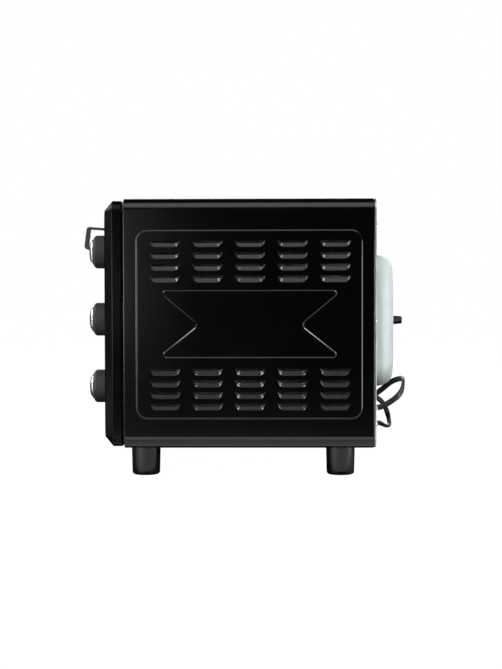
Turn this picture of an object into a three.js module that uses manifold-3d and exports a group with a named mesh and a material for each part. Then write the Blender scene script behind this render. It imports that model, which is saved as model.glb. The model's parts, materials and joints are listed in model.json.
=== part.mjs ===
// Countertop convection toaster oven with a drop-down door, three control knobs and a rear fan cover.
// Millimetres. +Z is up, +X is to the right seen from the front, and the front faces -Y.
// The origin is on the table, under the middle of the oven.
import * as THREE from 'three';
import { ConvexGeometry } from 'three/addons/geometries/ConvexGeometry.js';
import { mergeVertices } from 'three/addons/utils/BufferGeometryUtils.js';
import Module from 'manifold-3d';

const wasm = await Module();
wasm.setup();

// ---- Driving dimensions ----
const GAP = 0.3;                      // clearance between touching pieces
const SHEET = 0.8;                    // sheet metal thickness

const WIDTH = 500;                    // outer casing, side to side
const FOOT_HEIGHT = 35;
const TOP = 337;
const CASE_FRONT = -149.7;
const CASE_REAR = 152.3;
const CASE_BEND = 15;                 // outer radius of the casing's four long bends
const FLANGE = 28;                    // casing edge turned in under the oven
const BACK_FACE = 154.6;              // outer face of the back panel

const FRAME_FRONT = -173.7;           // front plane of the front frame
const FRAME_REAR = -152.3;
const FRAME_INSET = 1.8;              // front frame inside the casing outline
const CHAMFER_DEPTH = 10.3;
const CHAMFER_WIDTH = 12;

const PAD = { y0: -133.6, y1: 137.3, z0: 72, z1: 297.8, corner: 13, rise: 1 };
const LOUVRE = { columns: 5, rows: 4, firstY: -99.2, pitchY: 51.1, pitchZ: 14, length: 37, height: 8.2, rise: 3.4 };
const LOUVRE_TOPS = [285.4, 131.8];   // top edge of each block of louvres
const BOW = { y0: -107.8, y1: 112.7, z0: 145.4, z1: 225.7, waistY0: -58.4, waistY1: 63.2, waistZ: 184.4, depth: 0.85 };

const AXIS_X = -55;                   // middle of the cavity, fan and rear cover
const AXIS_Z = 185.3;

const DOOR = { x0: -234.8, x1: 121.3, y0: -168.7, y1: -154.7, z0: 61.7, z1: 320.9 };
const WINDOW = { x0: -203, x1: 90, z0: 98, z1: 285, corner: 8 };
const DOOR_AXIS_Y = (DOOR.y0 + DOOR.y1) / 2;
const DOOR_AXIS_Z = DOOR.z0 + (DOOR.y1 - DOOR.y0) / 2;
const PIN_RADIUS = 3;

const PANEL = { x0: 130.3, x1: 235.7, y0: -169.2, y1: -166.2, z0: 61.5, z1: 321 };
const KNOB_X = 180;
const KNOB_HEIGHTS = [274.9, 190.6, 106.7];
const KNOB_RADIUS = 20.7;
const SHAFT_RADIUS = 3;

const CAVITY = { x0: -225, x1: 115, y0: -148.8, y1: 135, z0: 72, z1: 308 };
const RACK_LEVELS = [121, 171, 221];
const TRAY = { x0: -218, x1: 108, y0: -150, y1: 112, z0: 47, z1: 57 };

const COVER = { base: 183, face: 141, rear: 197.6, corner: 30 };
const SPACER_TIP = 216.3;

const FEET = [['front_right', 1, -126.4], ['front_left', -1, -126.4], ['rear_right', 1, 113.4], ['rear_left', -1, 113.4]];
const FOOT_X = 210;

const HANDLE = { x0: -226, x1: 112, bracket: 10 };

const CORD_DIAMETER = 8;
const CORD_EXIT = [-12, 62.5];        // x and z of the strain relief
const HANK = { x0: -215, x1: -85, y0: 131.5, y1: 181.5, z0: 1.5, z1: 17.5 };
const TIE = { x0: -174, x1: -166, wall: 1 };
const PLUG = { x0: -74, x1: -34, y: 134, half: 13 };

// ---- Making and placing solids ----
function box(x0, x1, y0, y1, z0, z1) {
  const geometry = new THREE.BoxGeometry(x1 - x0, y1 - y0, z1 - z0);
  return geometry.translate((x0 + x1) / 2, (y0 + y1) / 2, (z0 + z1) / 2);
}

// A round bar along X, Y or Z from one coordinate to another; place gives its other two coordinates.
function bar(axis, from, to, place, radius, sides = 12) {
  const geometry = new THREE.CylinderGeometry(radius, radius, to - from, sides);
  const middle = (from + to) / 2;
  if (axis === 'x') return geometry.rotateZ(Math.PI / 2).translate(middle, place[0], place[1]);
  if (axis === 'y') return geometry.translate(place[0], middle, place[1]);
  return geometry.rotateX(Math.PI / 2).translate(place[0], place[1], middle);
}

function rectangle(a0, a1, b0, b1, corner = 0) {
  const shape = new THREE.Shape();
  if (corner === 0) {
    shape.moveTo(a0, b0).lineTo(a1, b0).lineTo(a1, b1).lineTo(a0, b1).closePath();
    return shape;
  }
  shape.moveTo(a0 + corner, b0).lineTo(a1 - corner, b0);
  shape.absarc(a1 - corner, b0 + corner, corner, -Math.PI / 2, 0, false);
  shape.absarc(a1 - corner, b1 - corner, corner, 0, Math.PI / 2, false);
  shape.absarc(a0 + corner, b1 - corner, corner, Math.PI / 2, Math.PI, false);
  shape.absarc(a0 + corner, b0 + corner, corner, Math.PI, Math.PI * 1.5, false);
  return shape;
}

function polygon(points) {
  return new THREE.Shape(points.map(([a, b]) => new THREE.Vector2(a, b)));
}

const flat = { bevelEnabled: false, steps: 1, curveSegments: 3 };

// An outline in (x, z) with thickness from y0 to y1.
function slabY(shape, y0, y1, options = {}) {
  const geometry = new THREE.ExtrudeGeometry(shape, { ...flat, depth: y1 - y0, ...options });
  return geometry.rotateX(Math.PI / 2).translate(0, y1, 0);
}

// An outline in (y, z) with thickness from x0 to x1.
function slabX(shape, x0, x1, options = {}) {
  const geometry = new THREE.ExtrudeGeometry(shape, { ...flat, depth: x1 - x0, ...options });
  const turn = new THREE.Matrix4().makeBasis(
    new THREE.Vector3(0, 1, 0), new THREE.Vector3(0, 0, 1), new THREE.Vector3(1, 0, 0));
  return geometry.applyMatrix4(turn).translate(x0, 0, 0);
}

function slabZ(shape, z0, z1) {
  return new THREE.ExtrudeGeometry(shape, { ...flat, depth: z1 - z0 }).translate(0, 0, z0);
}

// A turned piece: points are (radius, distance along -Y from baseY), about an axis through (x, z).
function turnedForward(points, baseY, x, z, segments = 20) {
  const profile = points.map(([radius, along]) => new THREE.Vector2(radius, along));
  return new THREE.LatheGeometry(profile, segments).rotateX(Math.PI).translate(x, baseY, z);
}

function turnedBack(points, baseY, x, z, segments = 16) {
  const profile = points.map(([radius, along]) => new THREE.Vector2(radius, along));
  return new THREE.LatheGeometry(profile, segments).translate(x, baseY, z);
}

function solid(geometry) {
  const bare = geometry.clone();
  bare.deleteAttribute('normal');
  bare.deleteAttribute('uv');
  const welded = mergeVertices(bare, 1e-3);
  const vertProperties = new Float32Array(welded.getAttribute('position').array);
  const triVerts = new Uint32Array(welded.index.array);
  return new wasm.Manifold(new wasm.Mesh({ numProp: 3, vertProperties, triVerts }));
}

function geometryOf(manifold) {
  const mesh = manifold.getMesh();
  const geometry = new THREE.BufferGeometry();
  geometry.setAttribute('position', new THREE.BufferAttribute(new Float32Array(mesh.vertProperties), 3));
  geometry.setIndex(new THREE.BufferAttribute(new Uint32Array(mesh.triVerts), 1));
  geometry.computeVertexNormals();
  return geometry;
}

function joined(...geometries) {
  return geometries.map(solid).reduce((sum, next) => sum.add(next));
}

function without(manifold, ...geometries) {
  return geometries.reduce((rest, tool) => rest.subtract(solid(tool)), manifold);
}

// ---- Materials ----
const finishes = {
  blackPaint: [0x0b0c0e, 0.38, 0.3],
  blackPlastic: [0x17181a, 0.5, 0.0],
  knobPlastic: [0x2b2c2e, 0.55, 0.0],
  chrome: [0xdcdee0, 0.12, 1.0],
  steel: [0xb9bcbe, 0.35, 0.9],
  coverPaint: [0xc4cccd, 0.5, 0.2],
  glass: [0x2a2622, 0.06, 0.0],
  element: [0x6f6a66, 0.6, 0.6],
  rubber: [0x1d1d1e, 0.8, 0.0],
  handle: [0x55565a, 0.4, 0.8],
  lens: [0xc4281c, 0.2, 0.0],
};

const oven = new THREE.Group();

function add(name, shape, finish) {
  const [color, roughness, metalness] = finishes[finish];
  const geometry = shape.isBufferGeometry ? shape : geometryOf(shape);
  const mesh = new THREE.Mesh(geometry, new THREE.MeshStandardMaterial({ color, roughness, metalness }));
  mesh.name = name;
  oven.add(mesh);
}

// ---- Outer casing: one sheet bent round the top and sides, with its lower edges turned in ----
function casingOutline() {
  const half = WIDTH / 2;
  const inner = CASE_BEND - SHEET;
  const low = FOOT_HEIGHT + CASE_BEND;
  const high = TOP - CASE_BEND;
  const across = half - CASE_BEND;
  const quarter = Math.PI / 2;
  const shape = new THREE.Shape();
  shape.moveTo(-half + FLANGE, FOOT_HEIGHT);
  shape.absarc(-across, low, CASE_BEND, -quarter, -2 * quarter, true);
  shape.absarc(-across, high, CASE_BEND, 2 * quarter, quarter, true);
  shape.absarc(across, high, CASE_BEND, quarter, 0, true);
  shape.absarc(across, low, CASE_BEND, 0, -quarter, true);
  shape.lineTo(half - FLANGE, FOOT_HEIGHT);
  shape.lineTo(half - FLANGE, FOOT_HEIGHT + SHEET);
  shape.absarc(across, low, inner, -quarter, 0, false);
  shape.absarc(across, high, inner, 0, quarter, false);
  shape.absarc(-across, high, inner, quarter, 2 * quarter, false);
  shape.absarc(-across, low, inner, 2 * quarter, 3 * quarter, false);
  shape.lineTo(-half + FLANGE, FOOT_HEIGHT + SHEET);
  return shape;
}

// An outline in (y, z) on a side wall, between two distances from the middle; side is +1 or -1.
function sideSlab(side, shape, near, far) {
  return side > 0 ? slabX(shape, near, far) : slabX(shape, -far, -near);
}

// A convex block on a side wall: points are (out from the wall, y, z), side is +1 or -1.
function onSide(side, points) {
  const face = side * WIDTH / 2;
  return new ConvexGeometry(points.map(([out, y, z]) => new THREE.Vector3(face + side * out, y, z)));
}

function louvreHood(side, y, top) {
  const { rise, height, length } = LOUVRE;
  const out = PAD.rise + rise;
  const points = [];
  for (const end of [-1, 1]) {
    points.push([0.4, y + end * length / 2, top], [0.4, y + end * length * 0.36, top - height]);
    points.push([out, y + end * length * 0.44, top], [out, y + end * length * 0.42, top - height * 0.3]);
  }
  return onSide(side, points);
}

function louvreMouth(side, y, top) {
  const { rise, height, length } = LOUVRE;
  const out = PAD.rise + rise - SHEET;
  const points = [];
  for (const end of [-1, 1]) {
    points.push([-2, y + end * length * 0.42, top + 0.6], [-2, y + end * length * 0.3, top - height * 0.75]);
    points.push([out, y + end * length * 0.4, top + 0.6]);
  }
  return onSide(side, points);
}

// The outline (y, z) of the bow-tie pressed into the pad, moved outwards by a margin along y and z.
function bowTie(margin) {
  return polygon([
    [BOW.y0 - margin, BOW.z1 + margin], [BOW.waistY0 - margin, BOW.waistZ], [BOW.y0 - margin, BOW.z0 - margin],
    [BOW.y1 + margin, BOW.z0 - margin], [BOW.waistY1 + margin, BOW.waistZ], [BOW.y1 + margin, BOW.z1 + margin],
  ]);
}

function outerCasing() {
  let casing = solid(slabY(casingOutline(), CASE_FRONT, CASE_REAR));
  const padOutline = rectangle(PAD.y0, PAD.y1, PAD.z0, PAD.z1, PAD.corner);
  const padHollow = rectangle(PAD.y0 + 2, PAD.y1 - 2, PAD.z0 + 2, PAD.z1 - 2, PAD.corner - 2);
  for (const side of [1, -1]) {
    casing = casing.add(solid(sideSlab(side, padOutline, WIDTH / 2 - SHEET / 2, WIDTH / 2 + PAD.rise)));
    casing = casing.subtract(solid(sideSlab(side, padHollow, WIDTH / 2 - 3, WIDTH / 2 + PAD.rise - SHEET)));
    const sunk = WIDTH / 2 + PAD.rise - BOW.depth;
    casing = casing.add(solid(sideSlab(side, bowTie(SHEET), sunk - SHEET, WIDTH / 2 + PAD.rise - 0.1)));
    casing = casing.subtract(solid(sideSlab(side, bowTie(0), sunk, WIDTH / 2 + PAD.rise + 1)));
    for (const blockTop of LOUVRE_TOPS) {
      for (let row = 0; row < LOUVRE.rows; row += 1) {
        for (let column = 0; column < LOUVRE.columns; column += 1) {
          const y = LOUVRE.firstY + column * LOUVRE.pitchY;
          const top = blockTop - row * LOUVRE.pitchZ;
          casing = casing.add(solid(louvreHood(side, y, top)));
          casing = casing.subtract(solid(louvreMouth(side, y, top)));
        }
      }
    }
  }
  return casing;
}

add('outer_casing', outerCasing(), 'blackPaint');
add('base_plate', box(-236, 236, -146, 150, FOOT_HEIGHT + SHEET + GAP, FOOT_HEIGHT + 2 * SHEET + GAP), 'steel');

// ---- Back panel: a shallow tray with the fan opening, cord hole and vent slots of the control side ----
function backPanel() {
  const half = WIDTH / 2 - 0.5;
  const outline = rectangle(-half, half, FOOT_HEIGHT + 0.5, TOP - 0.5, CASE_BEND);
  let panel = solid(slabY(outline, CASE_REAR + GAP, BACK_FACE));
  const inner = rectangle(-half + 2, half - 2, FOOT_HEIGHT + 2.5, TOP - 2.5, CASE_BEND - 2);
  panel = without(panel, slabY(inner, CASE_REAR - 2, BACK_FACE - SHEET));
  panel = without(panel, bar('y', 150, 158, [AXIS_X, AXIS_Z], 42, 32));
  panel = without(panel, bar('y', 150, 158, CORD_EXIT, 6.3, 16));
  for (let row = 0; row < 6; row += 1) {
    for (const x of [150, 195]) {
      const z = 230 + row * 11;
      panel = without(panel, box(x - 16, x + 16, 150, 158, z - 2, z + 2));
    }
  }
  return panel;
}
add('back_panel', backPanel(), 'steel');

// ---- Front frame: a chamfered ring round the door and the control panel ----
function frontFrame() {
  const half = WIDTH / 2 - FRAME_INSET;
  const outline = rectangle(-half, half, FOOT_HEIGHT + FRAME_INSET, TOP - FRAME_INSET - 0.6, 14);
  const straight = FRAME_REAR - FRAME_FRONT - CHAMFER_DEPTH;
  const bevelled = slabY(outline, FRAME_FRONT, FRAME_FRONT + straight, {
    bevelEnabled: true, bevelSegments: 1, bevelThickness: CHAMFER_DEPTH, bevelSize: CHAMFER_WIDTH,
    bevelOffset: -CHAMFER_WIDTH,
  }).translate(0, CHAMFER_DEPTH, 0);
  const keep = solid(box(-260, 260, FRAME_FRONT - 1, FRAME_REAR, 0, 400));
  return without(
    solid(bevelled).intersect(keep),
    box(DOOR.x0 - 1.2, DOOR.x1 + 1.2, -180, -140, DOOR.z0 - 1.2, DOOR.z1 + 1.2),
    box(PANEL.x0 - GAP, PANEL.x1 + GAP, -180, -140, DOOR.z0 - 1.2, DOOR.z1 + 1.2),
    box(TRAY.x0 - 1, TRAY.x1 + 1, -180, -140, TRAY.z0 - 1, TRAY.z1 + 1),
    bar('x', DOOR.x0 - 9, DOOR.x1 + 7, [DOOR_AXIS_Y, DOOR_AXIS_Z], PIN_RADIUS + 0.12, 24),
  );
}
add('front_frame', frontFrame(), 'blackPaint');

// ---- Control panel with its indicator lens and the three controls behind it ----
const controlHoles = KNOB_HEIGHTS.map((z) => bar('y', -175, -160, [KNOB_X, z], 6, 16));
const LENS = [KNOB_X + 36, 148.5];
const panelPlate = solid(slabY(rectangle(PANEL.x0, PANEL.x1, PANEL.z0, PANEL.z1, 2), PANEL.y0, PANEL.y1));
add('control_panel', without(panelPlate, ...controlHoles, bar('y', -175, -160, LENS, 4, 16)), 'blackPaint');
add('indicator_lens', turnedForward([[0, 0], [3.7, 0], [3.7, 7.6], [2.4, 8.7], [0, 9.2]], -162, LENS[0], LENS[1], 16), 'lens');

const CONTROLS = [['thermostat', 'temperature', 30], ['function_selector', 'function', 26], ['timer', 'timer', 38]];
CONTROLS.forEach(([body, knob, depth], i) => {
  const z = KNOB_HEIGHTS[i];
  const front = PANEL.y1 + GAP;
  const housing = solid(box(KNOB_X - 21, KNOB_X + 21, front, front + depth, z - 21, z + 21));
  const bore = bar('y', front - 1, front + 12, [KNOB_X, z], SHAFT_RADIUS + 0.3, 16);
  add(body, without(housing, bore), 'steel');
  add(`${knob}_shaft`, bar('y', -186, front + 11, [KNOB_X, z], SHAFT_RADIUS, 16), 'steel');
  add(`${knob}_knob`, turnedForward([
    [0, 17.3], [SHAFT_RADIUS + 0.4, 17.3], [SHAFT_RADIUS + 0.4, 0], [19.9, 0], [KNOB_RADIUS, 0.8],
    [KNOB_RADIUS, 20.6], [19.2, 23], [16.1, 24.6], [15.9, 23], [13.1, 23], [12.9, 27], [7.5, 28], [0, 28.4],
  ], PANEL.y0 - 0.7, KNOB_X, z), 'knobPlastic');
  add(`${knob}_knob_ring`, turnedForward(
    [[13.4, 23.3], [15.6, 23.3], [15.8, 25.2], [14.8, 27.1], [13.4, 27.1], [13.4, 23.3]],
    PANEL.y0 - 0.7, KNOB_X, z), 'chrome');
});

// ---- Door: frame, glass, handle and hinge pins ----
function doorFrame() {
  const half = (DOOR.y1 - DOOR.y0) / 2;
  const side = new THREE.Shape();
  side.moveTo(DOOR.y0, DOOR.z1).lineTo(DOOR.y0, DOOR_AXIS_Z);
  side.absarc(DOOR_AXIS_Y, DOOR_AXIS_Z, half, Math.PI, 2 * Math.PI, false);
  side.lineTo(DOOR.y1, DOOR.z1);
  const opening = rectangle(WINDOW.x0, WINDOW.x1, WINDOW.z0, WINDOW.z1, WINDOW.corner);
  const hollow = rectangle(DOOR.x0 + 2, DOOR.x1 - 2, DOOR_AXIS_Z + 8, DOOR.z1 - 2);
  hollow.holes.push(rectangle(WINDOW.x0 - 11, WINDOW.x1 + 11, WINDOW.z0 - 11, WINDOW.z1 + 11));
  return without(
    solid(slabX(side, DOOR.x0, DOOR.x1)),
    slabY(hollow, DOOR.y0 + 2, DOOR.y1 + 2),
    slabY(opening, DOOR.y0 - 2, DOOR.y1 + 2),
    box(WINDOW.x0 - 9, WINDOW.x1 + 9, DOOR.y1 - 3.8, DOOR.y1 + 2, WINDOW.z0 - 9, WINDOW.z1 + 9),
    bar('x', DOOR.x0 - 2, DOOR.x0 + 9, [DOOR_AXIS_Y, DOOR_AXIS_Z], PIN_RADIUS + GAP, 24),
    bar('x', DOOR.x1 - 9, DOOR.x1 + 2, [DOOR_AXIS_Y, DOOR_AXIS_Z], PIN_RADIUS + GAP, 24),
  );
}
add('door_frame', doorFrame(), 'blackPaint');
add('door_glass', box(WINDOW.x0 - 8.7, WINDOW.x1 + 8.7, DOOR.y1 - 3.5, DOOR.y1 - 0.3, WINDOW.z0 - 8.7, WINDOW.z1 + 8.7),
  'glass');
add('hinge_pin_left', bar('x', DOOR.x0 - 8, DOOR.x0 + 8, [DOOR_AXIS_Y, DOOR_AXIS_Z], PIN_RADIUS, 24), 'steel');
add('hinge_pin_right', bar('x', DOOR.x1 - 8, DOOR.x1 + 6, [DOOR_AXIS_Y, DOOR_AXIS_Z], PIN_RADIUS, 24), 'steel');

// The handle: a bracket at each end, with a foot on the door, a thin top flange and a leaning plate, and a slim bar
// between their lower ends.
function doorHandle() {
  const bracket = polygon([
    [DOOR.y0 - GAP, 292], [DOOR.y0 - GAP, 307.2], [-208.5, 310.4], [-212.2, 310], [-213.4, 308],
    [-216.4, 286], [-216.3, 283.6], [-213.6, 281], [-208.4, 280.2], [-208.2, 285],
    [-210.6, 287], [-208.4, 307.2], [DOOR.y0 - 3.1, 304.4], [DOOR.y0 - 3.1, 292],
  ]);
  const grip = polygon([
    [-216.4, 286], [-216.3, 283.6], [-213.6, 281], [-208.4, 280.2], [-208.2, 285], [-209.2, 286],
  ]);
  return solid(slabX(bracket, HANDLE.x0, HANDLE.x0 + HANDLE.bracket))
    .add(solid(slabX(bracket, HANDLE.x1 - HANDLE.bracket, HANDLE.x1)))
    .add(solid(slabX(grip, HANDLE.x0 + 1, HANDLE.x1 - 1)));
}
add('door_handle', doorHandle(), 'handle');

// ---- Cavity ----
const levelStrips = (x0, x1) => RACK_LEVELS.flatMap((z) => [
  box(x0, x1, -146, 100, z - 1.5, z),
  box(x0, x1, -146, 100, z + 8, z + 9.5),
]);
const ELEMENTS = [['upper_front', -75, 296], ['upper_rear', 40, 296], ['lower_front', -75, 84], ['lower_rear', 40, 84]];
const elementHoles = ELEMENTS.map(([, y, z]) => bar('x', -232, 122, [y, z], 4.7, 12));
const sideWall = (x0, x1) => box(x0, x1, CAVITY.y0, CAVITY.y1, CAVITY.z0, CAVITY.z1);

add('cavity_left_wall', without(
  joined(sideWall(CAVITY.x0 - SHEET, CAVITY.x0), ...levelStrips(CAVITY.x0 - 0.5, CAVITY.x0 + 7)),
  ...elementHoles), 'steel');
add('cavity_right_wall', without(
  joined(sideWall(CAVITY.x1, CAVITY.x1 + SHEET), ...levelStrips(CAVITY.x1 - 7, CAVITY.x1 + 0.5)),
  ...elementHoles), 'steel');
add('cavity_roof', box(CAVITY.x0 - SHEET, CAVITY.x1 + SHEET, CAVITY.y0, CAVITY.y1 + SHEET,
  CAVITY.z1 + GAP, CAVITY.z1 + GAP + SHEET), 'steel');

function cavityRearWall() {
  const plate = solid(box(CAVITY.x0 - SHEET, CAVITY.x1 + SHEET, CAVITY.y1 + GAP, CAVITY.y1 + GAP + SHEET,
    CAVITY.z0, CAVITY.z1));
  return without(plate, bar('y', 130, 140, [AXIS_X, AXIS_Z], 5, 16));
}
add('cavity_rear_wall', cavityRearWall(), 'steel');

function cavityFloor() {
  const top = CAVITY.z0 - GAP;
  let floor = solid(box(CAVITY.x0 - SHEET, CAVITY.x1 + SHEET, CAVITY.y0, CAVITY.y1 + SHEET, top - SHEET, top));
  for (let slot = 0; slot < 6; slot += 1) {
    const x = CAVITY.x0 + 18 + slot * 52;
    floor = without(floor, box(x, x + 42, -128, 106, top - 5, top + 5));
  }
  return floor;
}
add('cavity_floor', cavityFloor(), 'steel');

const flange = slabY(rectangle(-235.5, 127, 60, 323), CAVITY.y0 - GAP - SHEET, CAVITY.y0 - GAP);
add('cavity_front_flange', without(solid(flange),
  box(CAVITY.x0, CAVITY.x1, -160, -140, CAVITY.z0, CAVITY.z1)), 'steel');

for (const [name, y, z] of ELEMENTS) add(`heating_element_${name}`, bar('x', -234, 124, [y, z], 4, 12), 'element');

// ---- Wire rack, resting on the middle guides ----
function wireRack() {
  const z = RACK_LEVELS[1] + GAP + 2;
  const wires = [
    bar('y', -138, 100, [CAVITY.x0 + 4, z], 2, 8),
    bar('y', -138, 100, [CAVITY.x1 - 4, z], 2, 8),
    bar('x', CAVITY.x0 + 4, CAVITY.x1 - 4, [-136, z], 2, 8),
    bar('x', CAVITY.x0 + 4, CAVITY.x1 - 4, [98, z], 2, 8),
    bar('x', CAVITY.x0 + 4, CAVITY.x1 - 4, [-19, z], 1.9, 8),
  ];
  const count = 15;
  for (let i = 1; i <= count; i += 1) {
    const x = CAVITY.x0 + 4 + i * (CAVITY.x1 - CAVITY.x0 - 8) / (count + 1);
    wires.push(bar('y', -137, 99, [x, z], 1.4, 6));
  }
  return joined(...wires);
}
add('wire_rack', wireRack(), 'steel');

// ---- Crumb tray and its guides ----
function crumbTray() {
  const body = solid(box(TRAY.x0, TRAY.x1, TRAY.y0, TRAY.y1, TRAY.z0, TRAY.z1));
  const hollow = box(TRAY.x0 + 1.5, TRAY.x1 - 1.5, TRAY.y0 + 1.5, TRAY.y1 - 1.5, TRAY.z0 + 1.2, TRAY.z1 + 5);
  const neck = box(TRAY.x0, TRAY.x1, FRAME_FRONT - 1.5, TRAY.y0 + 1, TRAY.z0, TRAY.z0 + 1.2);
  const pull = box(TRAY.x0 - 4, TRAY.x1 + 4, FRAME_FRONT - 2.5, FRAME_FRONT - 0.7, TRAY.z0 - 2, TRAY.z1 + 2);
  return without(body, hollow).add(joined(neck, pull));
}
add('crumb_tray', crumbTray(), 'steel');

for (const [name, wall, ledge] of [['left', TRAY.x0 - 3, 1], ['right', TRAY.x1 + 3, -1]]) {
  const x0 = Math.min(wall, wall - ledge * 1.5);
  const top = TRAY.z0 - GAP;
  const shelf = box(Math.min(wall, wall + ledge * 9), Math.max(wall, wall + ledge * 9), -148, 116, top - 1.5, top);
  const web = box(x0, x0 + 1.5, -148, 116, FOOT_HEIGHT + 2 * SHEET + 2 * GAP, 64);
  add(`tray_guide_${name}`, joined(shelf, web), 'steel');
}

// ---- Convection fan, its guard, shaft, motor and bracket ----
function convectionFan() {
  const blades = [];
  for (let i = 0; i < 6; i += 1) {
    const blade = new THREE.BoxGeometry(34, 9, 1.4).rotateX(0.35).translate(37, 0, 0);
    blades.push(blade.rotateY(i * Math.PI / 3).translate(AXIS_X, 123, AXIS_Z));
  }
  const fan = joined(bar('y', 127, 128.4, [AXIS_X, AXIS_Z], 50, 24), bar('y', 116, 128.4, [AXIS_X, AXIS_Z], 9, 16), ...blades);
  return without(fan, bar('y', 110, 130, [AXIS_X, AXIS_Z], 3.3, 16));
}
add('convection_fan', convectionFan(), 'steel');
add('fan_shaft', bar('y', 115, 166, [AXIS_X, AXIS_Z], 3, 16), 'steel');

function fanGuard() {
  const guard = without(solid(bar('y', 105.5, CAVITY.y1, [AXIS_X, AXIS_Z], 76, 36)),
    bar('y', 106.7, CAVITY.y1 + 1, [AXIS_X, AXIS_Z], 74.8, 36));
  const slots = [];
  for (let i = 0; i < 12; i += 1) {
    const slot = new THREE.BoxGeometry(34, 6, 5).translate(42, 0, 0);
    slots.push(slot.rotateY((i + 0.5) * Math.PI / 6).translate(AXIS_X, 106, AXIS_Z));
  }
  return without(guard, ...slots);
}
add('fan_guard', fanGuard(), 'steel');

add('motor_bracket', without(solid(box(AXIS_X - 60, AXIS_X + 60, 155, 157, AXIS_Z - 16, AXIS_Z + 16)),
  bar('y', 150, 160, [AXIS_X, AXIS_Z], 12, 20)), 'steel');
add('fan_motor', without(solid(bar('y', 157.3, 187, [AXIS_X, AXIS_Z], 28, 24)),
  bar('y', 150, 168, [AXIS_X, AXIS_Z], 3.3, 16)), 'steel');

// ---- Rear cover over the fan motor, and the stud that keeps the oven off the wall ----
function coverShell(size, depth, taper) {
  const half = size / 2;
  const outline = rectangle(AXIS_X - half, AXIS_X + half, AXIS_Z - half, AXIS_Z + half, COVER.corner);
  return slabY(outline, BACK_FACE, BACK_FACE + 1, {
    bevelEnabled: true, bevelSegments: 3, bevelThickness: depth - 1, bevelSize: taper, bevelOffset: -taper,
  });
}

function convectionCover() {
  const depth = COVER.rear - BACK_FACE - GAP;
  const taper = (COVER.base - COVER.face) / 2;
  const outside = solid(coverShell(COVER.base, depth, taper));
  const inside = solid(coverShell(COVER.base - 2 * SHEET, depth - SHEET, taper));
  const behind = solid(box(-300, 200, BACK_FACE + GAP, 260, 0, 400));
  let cover = outside.subtract(inside).intersect(behind);
  for (const height of [-44, -34, 34, 44]) {
    for (const across of [-30, 30]) {
      const x = AXIS_X + across;
      const z = AXIS_Z + height;
      cover = without(cover, box(x - 20, x + 20, 185, 205, z - 2, z + 2));
    }
  }
  return cover;
}
add('convection_cover', convectionCover(), 'coverPaint');

const spacerLength = SPACER_TIP - COVER.rear - GAP;
add('wall_spacer', turnedBack([
  [0, 0], [8.2, 0], [8.2, 2], [6.1, spacerLength - 1], [5.1, spacerLength], [0, spacerLength],
], COVER.rear + GAP, AXIS_X, AXIS_Z), 'blackPlastic');

// ---- Feet ----
for (const [name, side, y] of FEET) {
  const profile = [[0, 0], [15.2, 0], [17, 1.8], [17.7, 33], [17.7, FOOT_HEIGHT - GAP], [0, FOOT_HEIGHT - GAP]];
  const points = profile.map(([radius, height]) => new THREE.Vector2(radius, height));
  const foot = new THREE.LatheGeometry(points, 18).rotateX(Math.PI / 2);
  add(`foot_${name}`, foot.translate(side * FOOT_X, y, 0), 'blackPlastic');
}

// ---- Mains connection ----
add('terminal_block', box(150, 182, 112, 138, FOOT_HEIGHT + 2 * SHEET + 2 * GAP, 56), 'blackPlastic');
add('strain_relief', turnedBack([
  [0, 0], [6, 0], [6, 4.4], [9, 4.4], [9, 7.5], [6.6, 9.5], [5, 26.4], [0, 26.4],
], BACK_FACE - 4.1, CORD_EXIT[0], CORD_EXIT[1]), 'rubber');

// The cord leaves the strain relief, loops out behind the cover, drops to the table and ends on its hank.
const cordRoute = [
  [-12, 178, 62.5], [-11.8, 183, 63.2], [-9.5, 190, 67.3], [-6, 199.6, 73.8], [-6, 207.7, 80.9], [-10, 212.1, 87.3],
  [-22, 215.2, 96.1], [-42, 216.6, 100.8], [-62, 212.8, 99.9], [-80, 203.1, 94], [-90, 195, 86],
  [-101, 184, 76], [-116, 172, 68], [-135, 167, 65.5], [-155, 177, 66.5], [-173, 191, 63.5],
  [-190, 201, 55], [-205, 208, 43], [-216, 212.5, 30], [-214, 214, 20.5], [-198, 210, 17.5],
  [-178, 201, 21.5], [-160, 191.5, 26.5], [-147, 182, 24.5], [-138, 171, 22.4],
];
const cordCurve = new THREE.CatmullRomCurve3(cordRoute.map(([x, y, z]) => new THREE.Vector3(x, y, z)));
const cordSection = new THREE.Shape();
cordSection.absarc(0, 0, CORD_DIAMETER / 2, 0, 2 * Math.PI, false);
add('power_cord', new THREE.ExtrudeGeometry(cordSection, {
  steps: 46, curveSegments: 5, bevelEnabled: false, extrudePath: cordCurve,
}), 'rubber');

const hankWidth = HANK.y1 - HANK.y0;
add('cord_hank', slabZ(rectangle(HANK.x0, HANK.x1, HANK.y0, HANK.y1, hankWidth / 2), HANK.z0, HANK.z1), 'rubber');
const tieOuter = GAP + TIE.wall;
add('cord_tie', without(
  solid(box(TIE.x0, TIE.x1, HANK.y0 - tieOuter, HANK.y1 + tieOuter, HANK.z0 - tieOuter, HANK.z1 + tieOuter)),
  box(TIE.x0 - 1, TIE.x1 + 1, HANK.y0 - GAP, HANK.y1 + GAP, HANK.z0 - GAP, HANK.z1 + GAP)), 'blackPlastic');

// The plug lies in line with the hank's front run, with its blades towards +X.
add('plug_body', box(PLUG.x0, PLUG.x1, PLUG.y - PLUG.half, PLUG.y + PLUG.half, GAP, GAP + 20), 'rubber');
for (const [name, offset] of [['front', -6.35], ['rear', 6.35]]) {
  const y = PLUG.y + offset;
  add(`plug_blade_${name}`, box(PLUG.x1 + GAP, PLUG.x1 + GAP + 17, y - 0.8, y + 0.8, 7.1, 13.5), 'chrome');
}

export default oven;
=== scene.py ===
"""Looks of a countertop convection toaster oven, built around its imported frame.

Lengths are in millimetres in this script and turned into metres where a mesh is made.
"""

import json
import math

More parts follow.
